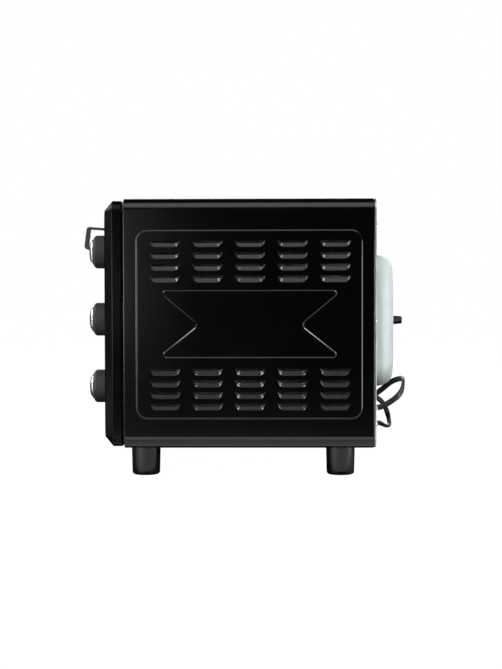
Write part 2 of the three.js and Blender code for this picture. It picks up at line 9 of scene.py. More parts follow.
import bmesh
import bpy
import numpy as np
from mathutils import Matrix, Vector
from mathutils.geometry import delaunay_2d_cdt


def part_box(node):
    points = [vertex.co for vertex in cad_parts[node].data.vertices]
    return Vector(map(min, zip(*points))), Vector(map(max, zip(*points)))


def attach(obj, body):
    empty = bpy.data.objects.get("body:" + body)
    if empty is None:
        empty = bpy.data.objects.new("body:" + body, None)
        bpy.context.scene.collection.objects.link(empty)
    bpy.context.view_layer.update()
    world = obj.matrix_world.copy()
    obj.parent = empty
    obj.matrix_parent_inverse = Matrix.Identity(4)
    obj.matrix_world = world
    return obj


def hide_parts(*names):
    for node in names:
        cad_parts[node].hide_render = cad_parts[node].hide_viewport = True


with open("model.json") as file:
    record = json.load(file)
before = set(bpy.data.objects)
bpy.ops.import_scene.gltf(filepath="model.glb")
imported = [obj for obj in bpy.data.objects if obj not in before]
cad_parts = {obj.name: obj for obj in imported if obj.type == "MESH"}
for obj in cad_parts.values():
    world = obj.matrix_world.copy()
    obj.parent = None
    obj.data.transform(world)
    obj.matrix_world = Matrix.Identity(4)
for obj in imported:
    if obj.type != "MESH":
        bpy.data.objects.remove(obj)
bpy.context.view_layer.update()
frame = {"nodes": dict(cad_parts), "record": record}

MM = 0.001
SHARP_ANGLE = math.radians(38)
FLAT_ANGLE = math.radians(0.6)


def cad(node):
    """The lowest and highest corner of a CAD node in millimetres."""
    low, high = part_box(node)
    return np.array(low) / MM, np.array(high) / MM


# ---- Sizes ----
SHEET = 0.8
CASE_LOW, CASE_HIGH = cad("outer_casing")
CASE_HALF = 250.0
CASE_BEND = 15.0
CASE_FLANGE = 28.0
CASE_ROLL = 1.1
PAD = dict(y0=-133.6, y1=137.3, z0=72.0, z1=297.8, corner=13.0, rise=1.0)
LOUVRE = dict(first=-99.2, pitch=51.1, drop=14.0, columns=5, rows=4,
              half=18.4, foot=13.6, height=8.0, rise=3.3)
LOUVRE_TOPS = (285.4, 131.8)
LOUVRE_SPANS = 22                     # mesh steps along a louvre
LOUVRE_OPEN = 2.9                     # open height of a slot above its hood's lip
BOW = [(-107.8, 225.7), (-58.4, 184.4), (-107.8, 145.4), (112.7, 145.4), (63.2, 184.4), (112.7, 225.7)]
BOW_DEPTH = 0.85
PAD_EDGE, BOW_EDGE = 1.9, 1.5         # widths of the pressed steps
AXIS_X, AXIS_Z = -55.0, 185.3         # middle of the fan, its guard and the rear cover
COVER_CORNER = 30.0
KNOB_X, KNOB_HEIGHTS = 180.0, (274.9, 190.6, 106.7)
KNOB_RADIUS = 20.7
KNOB_SEGMENTS = 96
KNOB_SWEEPS = (300, 270, 330)         # degrees from each dial's first tick to its last
BRACKET_WIDTH = 10.0                  # each end bracket of the door handle, along X
# Radius and height of the knob's face inside its ring.
KNOB_DOME = [(12.9, 27.0), (12.1, 28.1), (8.0, 29.0), (0.05, 29.4)]
CORD_WIDE, CORD_THIN = 8.0, 5.0


# ---- Meshes ----
class Shape:
    """Points and faces of one piece, collected patch by patch."""

    def __init__(self):
        self.points, self.faces, self.smooth = [], [], []

    def add(self, points, faces, smooth=True):
        start = len(self.points)
        self.points += [tuple(p) for p in points]
        self.faces += [tuple(start + i for i in f) for f in faces]
        self.smooth += [smooth] * len(faces)

    def grid(self, rows, closed=False):
        """Quads between rows of points; closed joins each row's end to its start."""
        rows = [list(r) for r in rows]
        n = len(rows[0])
        faces = []
        for i in range(len(rows) - 1):
            for j in range(n if closed else n - 1):
                k = (j + 1) % n
                faces.append((i * n + j, i * n + k, (i + 1) * n + k, (i + 1) * n + j))
        self.add([p for r in rows for p in r], faces)

    def cap(self, ring, flip=False):
        order = range(len(ring))
        self.add(ring, [tuple(reversed(order)) if flip else tuple(order)], smooth=False)

    def piece(self, name, body, finish, slot=None, replaces=(), sharp=SHARP_ANGLE):
        mesh = bpy.data.meshes.new(name)
        mesh.from_pydata([tuple(c * MM for c in p) for p in self.points], [], self.faces)
        mesh.polygons.foreach_set("use_smooth", self.smooth)
        work = bmesh.new()
        work.from_mesh(mesh)
        bmesh.ops.remove_doubles(work, verts=work.verts, dist=1e-6)
        bmesh.ops.recalc_face_normals(work, faces=work.faces)
        for e in work.edges:
            e.smooth = len(e.link_faces) == 2 and e.calc_face_angle(0) < sharp
        work.to_mesh(mesh)
        work.free()
        return placed(bpy.data.objects.new(name, mesh), body, finish, replaces)


def placed(piece, body, finish, replaces=()):
    """Links a piece, gives it its material, and hides the CAD nodes that it stands for."""
    bpy.context.scene.collection.objects.link(piece)
    piece.data.materials.clear()
    piece.data.materials.append(finish)
    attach(piece, body)
    if replaces:
        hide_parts(*replaces)
    return piece


def arc(cx, cy, radius, start, end, steps):
    """Points of an arc from start to end in degrees."""
    angles = np.radians(np.linspace(start, end, steps + 1))
    return [(cx + radius * math.cos(a), cy + radius * math.sin(a)) for a in angles]


def rounded_box(a0, a1, b0, b1, corner, steps):
    """A rectangle with round corners, anticlockwise."""
    r = max(corner, 0.01)
    return (arc(a1 - r, b0 + r, r, -90, 0, steps) + arc(a1 - r, b1 - r, r, 0, 90, steps)
            + arc(a0 + r, b1 - r, r, 90, 180, steps) + arc(a0 + r, b0 + r, r, 180, 270, steps))


def filleted(corners, radii, steps, closed=True):
    """A polyline with its corners turned into arcs; a radius of 0 keeps the corner."""
    n = len(corners)
    radii = [radii] * n if np.isscalar(radii) else radii
    out = []
    for i, corner in enumerate(corners):
        p = np.array(corner, float)
        r = radii[i]
        if r == 0 or (not closed and i in (0, n - 1)):
            out.append(tuple(p))
            continue
        before = np.array(corners[i - 1], float) - p
        after = np.array(corners[(i + 1) % n], float) - p
        lb, la = np.linalg.norm(before), np.linalg.norm(after)
        before, after = before / lb, after / la
        turn = math.pi - math.acos(np.clip(before @ after, -1, 1))
        tangent = min(r * math.tan(turn / 2), 0.48 * lb, 0.48 * la)
        r = tangent / math.tan(turn / 2)
        middle = (before + after) / np.linalg.norm(before + after)
        centre = p + middle * math.hypot(tangent, r)
        first, last = p + before * tangent - centre, p + after * tangent - centre
        for s in np.linspace(0, 1, steps + 1):
            q = math.sin((1 - s) * turn) * first + math.sin(s * turn) * last
            out.append(tuple(centre + q / math.sin(turn)))
    return out


def offset(loop, distance):
    """A closed anticlockwise loop moved outwards by a distance."""
    p = np.array(loop, float)
    t = np.roll(p, -1, 0) - p
    t /= np.maximum(np.linalg.norm(t, axis=1), 1e-9)[:, None]
    normal = np.stack([t[:, 1], -t[:, 0]], 1)
    both = normal + np.roll(normal, 1, 0)
    both /= np.maximum(np.linalg.norm(both, axis=1), 1e-9)[:, None]
    cosine = np.maximum((both * normal).sum(1), 0.5)
    return [tuple(q) for q in p + both * (distance / cosine)[:, None]]


def circle(segments):
    """The angles of a circle's corners."""
    return np.arange(segments) * 2 * math.pi / segments


def turned(name, body, profile, centre, axis, finish, slot, replaces, segments):
    """A lathe piece: profile points are (radius, distance along the axis from centre)."""
    axis = np.array(axis, float)
    side = np.array([0.0, 0.0, 1.0]) if abs(axis[2]) < 0.5 else np.array([1.0, 0.0, 0.0])
    up = np.cross(axis, side)
    centre = np.array(centre, float)
    spokes = [math.cos(a) * side + math.sin(a) * up for a in circle(segments)]
    rows = [[centre + axis * along + radius * spoke for spoke in spokes] for radius, along in profile]
    shape = Shape()
    shape.grid(rows, closed=True)
    shape.cap(rows[0])
    shape.cap(rows[-1], flip=True)
    return shape.piece(name, body, finish, slot, replaces)


def extruded(shape, loop, place, start, end, edge, steps=3):
    """A solid from a closed loop of 2D points between two stations, with its end edges rounded."""
    turns = [math.pi / 2 * k / steps for k in range(steps + 1)]
    rows = [[place(p, start + edge * (1 - math.sin(t))) for p in offset(loop, -edge * (1 - math.cos(t)))]
            for t in reversed(turns)]
    rows += [[place(p, end - edge * (1 - math.sin(t))) for p in offset(loop, -edge * (1 - math.cos(t)))]
             for t in turns]
    shape.grid(rows, closed=True)
    shape.cap(rows[0])
    shape.cap(rows[-1], flip=True)


def refined(node, body, finish, width=0.5, segments=3, angle=25, weld=0.002, clamp=True):
    """A copy of a CAD node with welded faces and rounded edges, which stands for the node.

    Edges sharper than angle degrees are rounded to width, and points closer than weld are joined.
    """
    piece = bpy.data.objects.new(f"{node}_skin", frame["nodes"][node].data.copy())
    if piece.data.attributes.get("custom_normal"):
        piece.data.attributes.remove(piece.data.attributes["custom_normal"])
    work = bmesh.new()
    work.from_mesh(piece.data)
    bmesh.ops.remove_doubles(work, verts=work.verts, dist=weld * MM)
    bmesh.ops.dissolve_limit(work, angle_limit=FLAT_ANGLE, verts=work.verts, edges=work.edges)
    bmesh.ops.triangulate(work, faces=[f for f in work.faces if len(f.verts) > 4])
    bmesh.ops.recalc_face_normals(work, faces=work.faces)
    for e in work.edges:
        e.smooth = len(e.link_faces) == 2 and e.calc_face_angle(0) < math.radians(angle)
    for f in work.faces:
        f.smooth = True
    work.to_mesh(piece.data)
    work.free()
    placed(piece, body, finish, [node])
    bevel = piece.modifiers.new("round_edges", "BEVEL")
    bevel.width = width * MM
    bevel.segments = segments
    bevel.limit_method = "ANGLE"
    bevel.angle_limit = math.radians(angle)
    bevel.harden_normals = True
    bevel.use_clamp_overlap = clamp
    return piece


# ---- Materials ----
class Nodes:
    """A small wrapper that makes and links shader nodes."""

    def __init__(self, material):
        material.use_nodes = True
        self.tree = material.node_tree
        self.bsdf = self.tree.nodes["Principled BSDF"]
        self.coordinates = self.tree.nodes.new("ShaderNodeTexCoord").outputs["Object"]

    def node(self, kind, **inputs):
        made = self.tree.nodes.new(kind)
        for key, value in inputs.items():
            self.set(made.inputs[key], value)
        return made

    def set(self, socket, value):
        if isinstance(value, bpy.types.NodeSocket):
            self.tree.links.new(value, socket)
        else:
            socket.default_value = value

    def stretched(self, scale):
        mapping = self.node("ShaderNodeMapping", Vector=self.coordinates)
        mapping.inputs["Scale"].default_value = scale
        return mapping.outputs["Vector"]

    def noise(self, scale, detail, vector=None):
        made = self.node("ShaderNodeTexNoise", Vector=vector or self.coordinates)
        made.inputs["Scale"].default_value = scale
        made.inputs["Detail"].default_value = detail
        return made.outputs["Fac"]

    def ranged(self, value, low, high):
        """Spreads the middle of a noise's values over low to high."""
        made = self.node("ShaderNodeMapRange", Value=value)
        made.inputs["From Min"].default_value = 0.3
        made.inputs["From Max"].default_value = 0.7
        made.inputs["To Min"].default_value = low
        made.inputs["To Max"].default_value = high
        return made.outputs["Result"]

    def mixed(self, share, a, b):
        made = self.tree.nodes.new("ShaderNodeMix")
        made.data_type = "RGBA"
        self.set(made.inputs["Factor"], share)
        made.inputs["A"].default_value = (*a, 1)
        made.inputs["B"].default_value = (*b, 1)
        return made.outputs["Result"]

    def bump(self, height, strength, distance):
        made = self.node("ShaderNodeBump", Height=height)
        made.inputs["Strength"].default_value = strength
        made.inputs["Distance"].default_value = distance
        return made.outputs["Normal"]


def material(name, colour, rough, metal=0.0, specular=0.5, shift=0.15, rough_shift=0.05, blotch=30.0,
             grain=None, stretch=None, coat=0.0):
    """A finish with blotchy colour and gloss; grain is (scale, strength, depth in metres) of its bump."""
    made = bpy.data.materials.new(name)
    nodes = Nodes(made)
    b = nodes.bsdf
    b.inputs["Metallic"].default_value = metal
    b.inputs["Specular IOR Level"].default_value = specular
    b.inputs["Coat Weight"].default_value = coat
    wide = nodes.noise(blotch, 4.0)
    light = [min(1.0, c * (1 + shift)) for c in colour]
    dark = [c * (1 - shift) for c in colour]
    nodes.set(b.inputs["Base Color"], nodes.mixed(nodes.ranged(wide, 0, 1), dark, light))
    vector = nodes.stretched(stretch) if stretch else None
    fine = nodes.noise(grain[0] if grain else 300.0, 2.0, vector)
    gloss = nodes.ranged(fine if stretch else wide, rough - rough_shift, rough + rough_shift)
    nodes.set(b.inputs["Roughness"], gloss)
    if grain:
        nodes.set(b.inputs["Normal"], nodes.bump(fine, grain[1], grain[2]))
    return made


def glass_finish(name, colour, rough):
    """Tinted glass with a faint smear over it."""
    made = bpy.data.materials.new(name)
    nodes = Nodes(made)
    b = nodes.bsdf
    b.inputs["Transmission Weight"].default_value = 1.0
    b.inputs["IOR"].default_value = 1.5
    smear = nodes.noise(18.0, 5.0)
    dark = [c * 0.9 for c in colour]
    nodes.set(b.inputs["Base Color"], nodes.mixed(nodes.ranged(smear, 0, 1), colour, dark))
    nodes.set(b.inputs["Roughness"], nodes.ranged(smear, rough, rough + 0.03))
    return made


LOOKS = {
    "casing_paint": dict(colour=(0.0006, 0.0007, 0.0008), rough=0.19, rough_shift=0.02, blotch=12,
                         grain=(1500, 0.04, 1e-5)),
    "frame_plastic": dict(colour=(0.0012, 0.0013, 0.0014), rough=0.26, specular=0.12, rough_shift=0.03,
                          grain=(2200, 0.08, 1e-5)),
    "panel_plastic": dict(colour=(0.006, 0.0062, 0.0066), rough=0.36, specular=0.4, grain=(2600, 0.1, 1e-5)),
    "knob_plastic": dict(colour=(0.05, 0.051, 0.053), rough=0.55, specular=0.4, grain=(3000, 0.25, 2e-5)),
    "chrome_trim": dict(colour=(0.82, 0.83, 0.84), rough=0.2, metal=1.0, shift=0.03, rough_shift=0.03),
    "sheet_steel": dict(colour=(0.50, 0.51, 0.52), rough=0.34, metal=0.85, shift=0.10, rough_shift=0.08,
                        blotch=60, grain=(500, 0.06, 2e-5), stretch=(1.0, 1.0, 0.15)),
    "cavity_steel": dict(colour=(0.46, 0.46, 0.45), rough=0.38, metal=0.55, shift=0.12, rough_shift=0.08,
                         blotch=25, grain=(400, 0.1, 2e-5), stretch=(1.0, 0.05, 1.0)),
    "cover_paint": dict(colour=(0.44, 0.48, 0.485), rough=0.42, shift=0.03, grain=(1300, 0.08, 1e-5)),
    "handle_metal": dict(colour=(0.055, 0.055, 0.057), rough=0.30, metal=0.9, shift=0.08, rough_shift=0.06,
                         grain=(600, 0.08, 1e-5), stretch=(0.02, 1.0, 1.0)),
    "element_steel": dict(colour=(0.16, 0.145, 0.13), rough=0.55, metal=0.6, shift=0.5, rough_shift=0.15,
                          blotch=45, grain=(900, 0.3, 4e-5)),
    "rack_chrome": dict(colour=(0.68, 0.69, 0.70), rough=0.16, metal=1.0, shift=0.06, rough_shift=0.06),
    "tray_aluminium": dict(colour=(0.58, 0.58, 0.59), rough=0.33, metal=1.0, shift=0.06, rough_shift=0.08,
                           blotch=50, grain=(500, 0.1, 2e-5), stretch=(0.05, 1.0, 1.0)),
    "foot_plastic": dict(colour=(0.006, 0.006, 0.0065), rough=0.30, grain=(2400, 0.12, 1e-5)),
    "control_body": dict(colour=(0.25, 0.24, 0.21), rough=0.5, grain=(900, 0.2, 3e-5)),
    "cord_rubber": dict(colour=(0.022, 0.022, 0.022), rough=0.42, specular=0.45, shift=0.2,
                        grain=(1800, 0.25, 2e-5)),
    "plug_plastic": dict(colour=(0.03, 0.03, 0.03), rough=0.5, grain=(2200, 0.25, 2e-5)),
    "blade_brass": dict(colour=(0.70, 0.58, 0.34), rough=0.25, metal=1.0, shift=0.08, rough_shift=0.08,
                        grain=(700, 0.1, 1e-5), stretch=(0.1, 1.0, 1.0)),
    "lens_red": dict(colour=(0.5, 0.03, 0.02), rough=0.12, coat=0.5),
    "motor_steel": dict(colour=(0.33, 0.33, 0.33), rough=0.4, metal=0.9, rough_shift=0.1,
                        grain=(700, 0.3, 5e-5), stretch=(0.2, 4.0, 0.2)),
}
FINISHES = {name: material(name, **look) for name, look in LOOKS.items()}
FINISHES["door_glass"] = glass_finish("door_glass", (0.34, 0.33, 0.31), 0.02)
SCREW_STEEL = material("screw_steel", (0.55, 0.56, 0.57), 0.28, metal=1.0, rough_shift=0.08)
PRINT_WHITE = material("print_white", (0.62, 0.62, 0.60), 0.5, shift=0.05)
NODE_SLOTS = {s["node"]: s["material_slot"] for s in frame["record"]["subparts"]}
for node, piece in frame["nodes"].items():
    piece.data.materials.clear()
    piece.data.materials.append(FINISHES[NODE_SLOTS[node]])


# ---- Camera: at the control side, a little above the middle and 1.5 m away ----
def make_camera():
    target = np.array([CASE_HALF, 4.0, 173.0]) * MM
    distance, elevation, azimuth, roll = 1.5, math.radians(1.6), math.radians(0.9), -0.0018
    away = np.array([math.cos(elevation) * math.cos(azimuth), math.cos(elevation) * math.sin(azimuth),
                     math.sin(elevation)])
    right = np.cross(-away, [0, 0, 1.0])
    right /= np.linalg.norm(right)
    up = np.cross(right, -away)
    turned_right = math.cos(roll) * right + math.sin(roll) * up
    turned_up = math.cos(roll) * up - math.sin(roll) * right
    data = bpy.data.cameras.new("camera")
    data.sensor_width = 36.0
    data.lens = 67.264
    data.clip_end = 100.0
    camera = bpy.data.objects.new("camera", data)
    matrix = Matrix.Identity(4)
    for column, vector in enumerate((turned_right, turned_up, away, target + away * distance)):
        for row in range(3):
            matrix[row][column] = vector[row]
    camera.matrix_world = matrix
    bpy.context.scene.collection.objects.link(camera)
    bpy.context.scene.camera = camera


make_camera()


# ---- Power cord: a flat lead, wide side upright in its loops and in the hank ----
CORD_ROUTE = [
    (-12, 178, 62.5), (-11.8, 183, 63.2), (-9.5, 190, 67.3), (-6, 199.6, 73.8), (-6, 207.7, 80.9),
    (-10, 212.1, 87.3), (-22, 215.2, 96.1), (-42, 216.6, 100.8), (-62, 212.8, 99.9), (-80, 203.1, 94),
    (-90, 195, 86), (-101, 184, 76), (-116, 172, 68), (-135, 167, 65.5), (-155, 177, 66.5),
    (-173, 191, 63.5), (-190, 201, 55), (-205, 208, 43), (-216, 212.5, 30), (-214, 214, 20.5),
    (-198, 210, 17.5), (-178, 201, 21.5), (-160, 191.5, 26.5), (-147, 182, 24.5), (-138, 171, 22.4),
]
# Where along the lead, and over what length, its wide side lies down instead of standing up.
CORD_LIES_AT, CORD_LIES_OVER = 338.0, 48.0


def hank_route():
    """The turns of the tied hank, from the end of the free route to the plug."""
    low, high = cad("cord_hank")
    radius = (high[1] - low[1] - CORD_THIN) / 2
    middle = (low[1] + high[1]) / 2
    west, east = low[0] + CORD_THIN / 2 + radius, high[0] - CORD_THIN / 2 - radius
    layer = [low[2] + CORD_WIDE / 2 + CORD_WIDE * k for k in range(3)]
    points = [(-130, 158.5, 21.8), (-123, 147, 21.5), (-115.5, 138, 21.5)]
    for turn in range(2):
        top = layer[2 - turn]
        east_arc = arc(east, middle, radius, -90, 90, 12)[1 if turn == 0 else 0:]
        for k, (x, y) in enumerate(east_arc):
            share = k / (len(east_arc) - 1)
            points.append((x, y, top - CORD_WIDE * share * share * (3 - 2 * share)))
        flat = [(x, middle + radius) for x in np.linspace(east, west, 6)[1:-1]]
        flat += arc(west, middle, radius, 90, 270, 12)
        flat += [(x, middle - radius) for x in np.linspace(west, east, 6)[1:-1]]
        points += [(x, y, top - CORD_WIDE) for x, y in flat]
    plug_low, plug_high = cad("plug_body")
    plug_z = (plug_low[2] + plug_high[2]) / 2
    y = middle - radius
    return points + [(east, y, layer[0]), (east + 12, y, layer[0] + 0.6), (east + 24, y, plug_z - 0.8),
                     (plug_low[0] + 6, y, plug_z)]


def between(a, b, start, end, t):
    """The point at t on the line that is at a when t is start and at b when t is end."""
    return ((end - t) * a + (t - start) * b) / (end - start)


def distances(line):
    """How far each point of a line is from its start, along it."""
    return np.concatenate([[0], np.cumsum(np.linalg.norm(np.diff(line, axis=0), axis=1))])


def smooth_line(points, step):
    """A centripetal Catmull-Rom curve through points, sampled about step apart."""
    p = np.array(points, float)
    p = np.vstack([2 * p[0] - p[1], p, 2 * p[-1] - p[-2]])
    out = []
    for i in range(1, len(p) - 2):
        quad = p[i - 1:i + 3]
        knots = np.concatenate([[0], np.cumsum(np.linalg.norm(np.diff(quad, axis=0), axis=1) ** 0.5)])
        for t in np.linspace(knots[1], knots[2], 9)[:-1]:
            a = [between(quad[k], quad[k + 1], knots[k], knots[k + 1], t) for k in range(3)]
            b = [between(a[k], a[k + 1], knots[k], knots[k + 2], t) for k in range(2)]
            out.append(between(b[0], b[1], knots[1], knots[2], t))
    out.append(p[-2])
    out = np.array(out)
    along = distances(out)
    at = np.linspace(0, along[-1], int(along[-1] / step) + 1)
    return np.stack([np.interp(at, along, out[:, k]) for k in range(3)], 1), at


def flat_section(wide, thin, steps=5):
    """The round-ended section of the flat lead, with the shallow valley between its two cores."""
    a, b = wide / 2, thin / 2
    out = []
    for angle in np.arange(0, 2 * math.pi, math.pi / (2 * steps + 2)):
        c, s = math.cos(angle), math.sin(angle)
        x = a * math.copysign(abs(c) ** 0.75, c)
        y = b * math.copysign(abs(s) ** 0.6, s)
        y *= 1 - 0.16 * math.exp(-(x / (0.22 * wide)) ** 2)
        out.append((x, y))
    return out


def power_cord():
    """The lead as one mesh, and the line along its middle in metres."""
    line, along = smooth_line(CORD_ROUTE + hank_route(), 2.0)
    for _ in range(6):
        line[1:-1] = (line[:-2] + 2 * line[1:-1] + line[2:]) / 4
    tangent = np.gradient(line, axis=0)
    tangent /= np.linalg.norm(tangent, axis=1)[:, None]
    # The wide side stands up, except where the lead drops beside the back panel.
    drop = np.exp(-((along - CORD_LIES_AT) / CORD_LIES_OVER) ** 2)
    wide = np.stack([0.96 * drop, 0.25 * drop, 1 - 0.9 * drop], 1)
    wide -= (wide * tangent).sum(1)[:, None] * tangent
    for _ in range(12):
        wide[1:-1] = (wide[:-2] + wide[1:-1] + wide[2:]) / 3
    wide -= (wide * tangent).sum(1)[:, None] * tangent
    wide /= np.linalg.norm(wide, axis=1)[:, None]
    thin = np.cross(tangent, wide)
    section = flat_section(CORD_WIDE, CORD_THIN)
    rows = [[p + w * x + t * y for x, y in section] for p, w, t in zip(line, wide, thin)]
    shape = Shape()
    shape.grid(rows, closed=True)
    shape.cap(rows[0])
    shape.cap(rows[-1], flip=True)
    piece = shape.piece("power_cord_lead", "oven", FINISHES["cord_rubber"], "cord_rubber",
                        ["power_cord", "cord_hank"], sharp=math.radians(60))
    return piece, line * MM


lead, lead_line = power_cord()


# ---- Strain relief, tie and plug ----
def strain_relief():
    """A ribbed boot where the cord leaves the back panel."""
    low, high = cad("strain_relief")
    x, z = (low[0] + high[0]) / 2, (low[2] + high[2]) / 2
    profile = [(5.6, 0), (5.6, 4.2), (9, 4.4), (9, 6.6), (8.2, 7.4), (6.8, 8.2)]
    for rib in range(5):
        start = 9.0 + rib * 3.2
        radius = 6.5 - rib * 0.26
        profile += [(radius, start), (radius, start + 1.8)]
        profile += [(radius - 1.1, start + 2.1), (radius - 1.2, start + 2.9)]
    profile += [(5.1, 25.2), (4.9, 26.2), (4.2, 26.6)]
    return turned("strain_relief_boot", "oven", profile, (x, low[1], z), (0, 1, 0), FINISHES["cord_rubber"],
                  "cord_rubber", ["strain_relief"], segments=40)


def cord_tie():
    """A band round the hank, with a small buckle on top."""
    low, high = cad("cord_tie")
    shape = Shape()
    outer = rounded_box(low[1], high[1], low[2], high[2], 3.2, 6)
    inner = offset(outer, -0.9)
    x0, x1 = low[0], high[0]
    loops = [(outer, x0 + 0.25), (outer, x1 - 0.25), (offset(outer, -0.2), x1), (offset(inner, 0.2), x1),
             (inner, x1 - 0.25), (inner, x0 + 0.25), (offset(inner, 0.2), x0), (offset(outer, -0.2), x0),
             (outer, x0 + 0.25)]
    shape.grid([[(x, y, z) for y, z in loop] for loop, x in loops], closed=True)
    buckle = rounded_box(low[1] + 21, low[1] + 31, high[2] - 0.3, high[2] + 2.4, 0.7, 4)
    extruded(shape, buckle, lambda p, x: (x, p[0], p[1]), x0 - 1.4, x1 + 1.4, 0.5)
    return shape.piece("cord_tie_band", "oven", FINISHES["plug_plastic"], "plug_plastic", ["cord_tie"])


def plug():
    """The plug's grip and its two blades."""
    low, high = cad("plug_body")
    y, z = (low[1] + high[1]) / 2, (low[2] + high[2]) / 2
    half_y, half_z = (high[1] - low[1]) / 2, (high[2] - low[2]) / 2
    # Stations along X: (share of the length, share of the half width, share of the half height)
    stations = [(0.0, 0.26, 0.34), (0.03, 0.30, 0.38), (0.12, 0.33, 0.40), (0.24, 0.42, 0.50),
                (0.34, 0.66, 0.72), (0.44, 0.84, 0.84), (0.58, 0.90, 0.86), (0.74, 0.86, 0.84),
                (0.80, 0.88, 0.88), (0.86, 0.98, 0.98), (0.97, 1.0, 1.0), (0.99, 0.985, 0.98),
                (1.0, 0.95, 0.94)]
    shape = Shape()
    rows = []
    for share, wide, tall in stations:
        x = low[0] + share * (high[0] - low[0])
        a, b = half_y * wide, half_z * tall
        rows.append([(x, y + c, z + d) for c, d in rounded_box(-a, a, -b, b, 0.72 * b, 7)])
    shape.grid(rows, closed=True)
    shape.cap(rows[0])
    shape.cap(rows[-1], flip=True)
    body = shape.piece("plug_grip", "oven", FINISHES["plug_plastic"], "plug_plastic", ["plug_body"],
                       sharp=math.radians(45))
    subdivide = body.modifiers.new("soften", "SUBSURF")
    subdivide.levels = subdivide.render_levels = 1
    blades = []
    for side in ("front", "rear"):
        (x0, y0, z0), (x1, y1, z1) = cad(f"plug_blade_{side}")
        outline = [(x0, z0), (x1 - 2.2, z0), (x1, z0 + 1.8), (x1, z1 - 1.8), (x1 - 2.2, z1), (x0, z1)]
        shape = Shape()
        extruded(shape, filleted(outline, 0.6, 4), lambda p, c: (p[0], c, p[1]), y0, y1, 0.3)
        blades.append(shape.piece(f"plug_blade_{side}_bar", "oven", FINISHES["blade_brass"], "blade_brass",
                                  [f"plug_blade_{side}"]))
    return [body, *blades]


on_cord = [strain_relief(), cord_tie(), *plug()]


# ---- Outer casing: one sheet bent round the oven, with a raised pad, louvres and a bow-tie recess ----
def step_rows(loop, width, low, high, rows=9):
    """Rows of (a, b, height) across a smooth step along a loop, from outside at low to inside at high."""
    out = [[(a, b, low) for a, b in offset(loop, width / 2 + 0.35)]]
    for t in np.linspace(0, 1, rows):
        height = low + (high - low) * t * t * (3 - 2 * t)
        out.append([(a, b, height) for a, b in offset(loop, width * (0.5 - t))])
    out.append([(a, b, high) for a, b in offset(loop, -width / 2 - 0.35)])
    return out


def louvre_outline():
    """The foot of a louvre's hood below its slot, from the left end to the right end, about (0, 0)."""
    half, foot, height = LOUVRE["half"], LOUVRE["foot"], LOUVRE["height"]
    corners = [(-half, 0), (-foot - 1.0, -height), (foot + 1.0, -height), (half, 0)]
    return resampled(filleted(corners, [0, 4.2, 4.2, 0], 6, closed=False), LOUVRE_SPANS)


def resampled(line, n):
    """A line cut into n even steps."""
    p = np.array(line, float)
    along = distances(p)
    at = np.linspace(0, along[-1], n + 1)
    return list(zip(np.interp(at, along, p[:, 0]), np.interp(at, along, p[:, 1])))


def louvre_lip():
    """The hood's free edge, which is the lower edge of the slot."""
    half = LOUVRE["half"]
    left = [(-half, 0), (-half + 1.8, -0.9), (-half + 4.2, -3.0)]
    right = [(-a, b) for a, b in reversed(left)]
    return resampled(filleted(left + right, [0, 1.5, 2.5, 2.5, 1.5, 0], 5, closed=False), LOUVRE_SPANS)


def louvre_rows(y, top, base):
    """Rows of (a, b, height) of one hood, from its foot up to its lip."""
    foot, lip = louvre_outline(), louvre_lip()
    rows = []
    for t in np.linspace(0, 1, 10):
        row = []
        for (fa, fb), (la, lb) in zip(foot, lip):
            reach = math.hypot(fa - la, fb - lb) / (LOUVRE["height"] - LOUVRE_OPEN)
            level = LOUVRE["rise"] * min(1.0, reach) ** 0.6 * (1 - (1 - t) ** 1.7) * (0.35 + 0.65 * t)
            row.append((y + fa + (la - fa) * t, top + fb + (lb - fb) * t, base + level))
        rows.append(row)
    return rows


def louvre_hole(y, top):
    """The whole outline of a louvre in the pad: its foot and the straight cut along the top."""
    return [(y + a, top + b) for a, b in louvre_outline()]


def inside(loop, points):
    """Which points lie inside a closed loop."""
    p = np.array(loop, float)
    q = np.roll(p, -1, 0)
    x, y = points[:, 0, None], points[:, 1, None]
    crosses = (p[:, 1] > y) != (q[:, 1] > y)
    with np.errstate(divide="ignore", invalid="ignore"):
        at = p[:, 0] + (y - p[:, 1]) / (q[:, 1] - p[:, 1]) * (q[:, 0] - p[:, 0])
    return (crosses & (x < at)).sum(1) % 2 == 1


def flat_fill(shape, outer, holes, height, place):
    """Triangles of a flat stretch between an outer loop and the loops of its holes."""
    points, edges = [], []
    for loop in [outer, *holes]:
        start, n = len(points), len(loop)
        points += [Vector(p) for p in loop]
        edges += [(start + i, start + (i + 1) % n) for i in range(n)]
    verts, _, faces, *_ = delaunay_2d_cdt(points, edges, [], 0, 1e-5)
    flat = np.array([tuple(v) for v in verts])
    centres = np.array([flat[list(f)].mean(0) for f in faces])
    keep = inside(outer, centres)
    for loop in holes:
        keep &= ~inside(loop, centres)
    kept = [tuple(f) for f, k in zip(faces, keep) if k]
    shape.add([place(v[0], v[1], height) for v in flat], kept, smooth=False)


